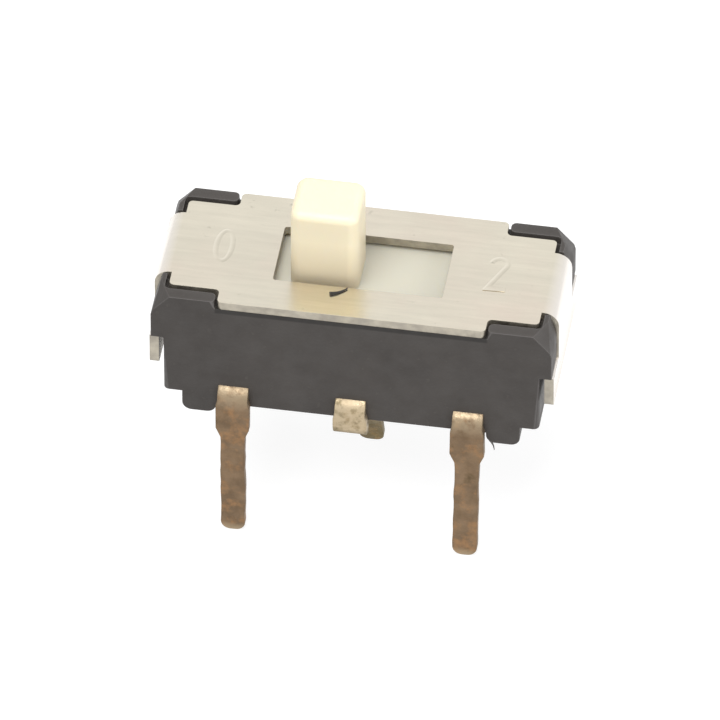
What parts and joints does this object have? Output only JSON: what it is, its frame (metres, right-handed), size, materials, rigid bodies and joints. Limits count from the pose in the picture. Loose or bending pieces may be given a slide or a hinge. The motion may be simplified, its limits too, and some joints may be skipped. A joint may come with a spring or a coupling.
{
  "type": "slide switch",
  "caption": "Miniature two-position slide switch with a black moulded base, bright sheet-metal cover, ivory sliding knob and bent-down through-hole terminals, one folded back.",
  "frame": {"origin": "on the board plane, under the middle of the body, level with the undersides of the feet", "axes": "+X along the body, the way the knob slides; -Y faces the terminal side; +Z away from the board, towards the knob"},
  "size_m": [0.0086, 0.0036, 0.0081],
  "materials": {
    "moulded_black": "dark moulded thermoplastic, matt",
    "plated_cover": "nickel-plated sheet steel, soft satin",
    "ivory_slider": "ivory thermoplastic, slightly translucent",
    "stained_terminal": "tinned brass stained brown by heat and flux",
    "bright_terminal": "tinned brass, lightly stained",
    "contact_metal": "phosphor bronze, bright",
    "spring_metal": "spring steel strip"
  },
  "bodies": {
    "housing": {"base": "moulded_black", "cover": "plated_cover", "left_terminal": "stained_terminal", "centre_terminal": "bright_terminal", "right_terminal": "stained_terminal"},
    "slide": {"slider": "ivory_slider", "wiper": "contact_metal", "click_spring": "spring_metal"}
  },
  "joints": [
    {"name": "knob_slide", "type": "slide", "parent": "housing", "child": "slide", "axis": [1, 0, 0], "range_m": [0, 0.0015], "deforming": ["click_spring"]}
  ]
}
